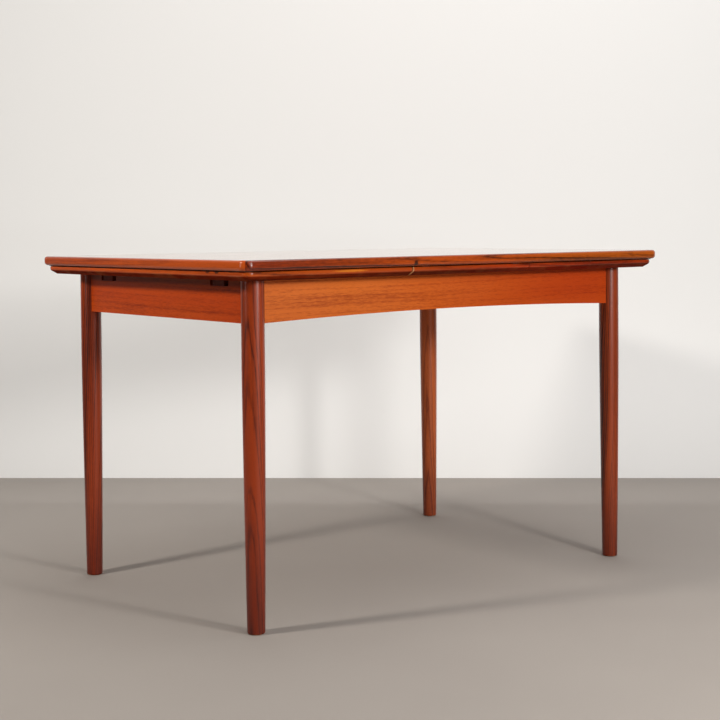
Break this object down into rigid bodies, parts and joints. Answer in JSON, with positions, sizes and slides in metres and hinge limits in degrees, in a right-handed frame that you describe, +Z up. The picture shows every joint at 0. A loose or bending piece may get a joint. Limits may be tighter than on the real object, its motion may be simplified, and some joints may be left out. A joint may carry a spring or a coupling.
{
  "type": "draw leaf table",
  "caption": "Extending wooden dining table with round tapered legs, arched long aprons and a loose top over two leaves that draw out of the ends.",
  "frame": {"origin": "on the floor under the middle of the table", "axes": "+X along the length of the top, +Z up, -Y is the long side that the reference view shows"},
  "size_m": [1.185, 0.822, 0.73],
  "materials": {
    "teak_top_veneer": "semi-gloss lacquered teak veneer",
    "teak_top_lipping": "semi-gloss lacquered solid teak, rounded edge",
    "teak_leaf_veneer": "semi-gloss lacquered teak veneer",
    "teak_leaf_lipping": "semi-gloss lacquered solid teak, bevelled edge",
    "teak_apron": "satin lacquered teak veneer, lengthwise grain",
    "teak_leg": "semi-gloss lacquered solid teak, lengthwise grain",
    "beech": "plain unfinished beech",
    "steel": "dull plated steel",
    "felt": "glued wool felt"
  },
  "bodies": {
    "table_frame": {"centre_board_lipping_front": "teak_leaf_lipping", "centre_board_lipping_rear": "teak_leaf_lipping", "centre_board_panel": "teak_leaf_veneer", "centre_board_screw_1": "steel", "centre_board_screw_2": "steel", "centre_board_screw_3": "steel", "centre_board_screw_4": "steel", "centre_rail": "beech", "corner_block_front_left": "beech", "corner_block_front_right": "beech", "corner_block_rear_left": "beech", "corner_block_rear_right": "beech", "front_apron": "teak_apron", "left_end_apron": "teak_apron", "leg_bolt_front_left": "steel", "leg_bolt_front_right": "steel", "leg_bolt_rear_left": "steel", "leg_bolt_rear_right": "steel", "leg_front_left": "teak_leg", "leg_front_right": "teak_leg", "leg_nut_front_left": "steel", "leg_nut_front_right": "steel", "leg_nut_rear_left": "steel", "leg_nut_rear_right": "steel", "leg_rear_left": "teak_leg", "leg_rear_right": "teak_leg", "rear_apron": "teak_apron", "right_end_apron": "teak_apron"},
    "loose_top": {"felt_strip_left_inner": "felt", "felt_strip_left_outer": "felt", "felt_strip_right_inner": "felt", "felt_strip_right_outer": "felt", "guide_peg_left": "beech", "guide_peg_right": "beech", "top_lipping_front": "teak_top_lipping", "top_lipping_left": "teak_top_lipping", "top_lipping_rear": "teak_top_lipping", "top_lipping_right": "teak_top_lipping", "top_panel": "teak_top_veneer"},
    "left_leaf": {"left_leaf_lipping_end": "teak_leaf_lipping", "left_leaf_lipping_front": "teak_leaf_lipping", "left_leaf_lipping_rear": "teak_leaf_lipping", "left_leaf_panel": "teak_leaf_veneer", "left_runner_front": "beech", "left_runner_rear": "beech", "left_stop_block_front": "beech", "left_stop_block_rear": "beech"},
    "right_leaf": {"right_leaf_lipping_end": "teak_leaf_lipping", "right_leaf_lipping_front": "teak_leaf_lipping", "right_leaf_lipping_rear": "teak_leaf_lipping", "right_leaf_panel": "teak_leaf_veneer", "right_runner_front": "beech", "right_runner_rear": "beech", "right_stop_block_front": "beech", "right_stop_block_rear": "beech"}
  },
  "joints": [
    {"name": "top_lift", "type": "slide", "parent": "table_frame", "child": "loose_top", "axis": [0, 0, 1], "range_m": [0, 0.025]},
    {"name": "left_leaf_draw", "type": "slide", "parent": "table_frame", "child": "left_leaf", "axis": [-1, 0, 0], "range_m": [0, 0.4243]},
    {"name": "right_leaf_draw", "type": "slide", "parent": "table_frame", "child": "right_leaf", "axis": [1, 0, 0], "range_m": [0, 0.4243]}
  ]
}
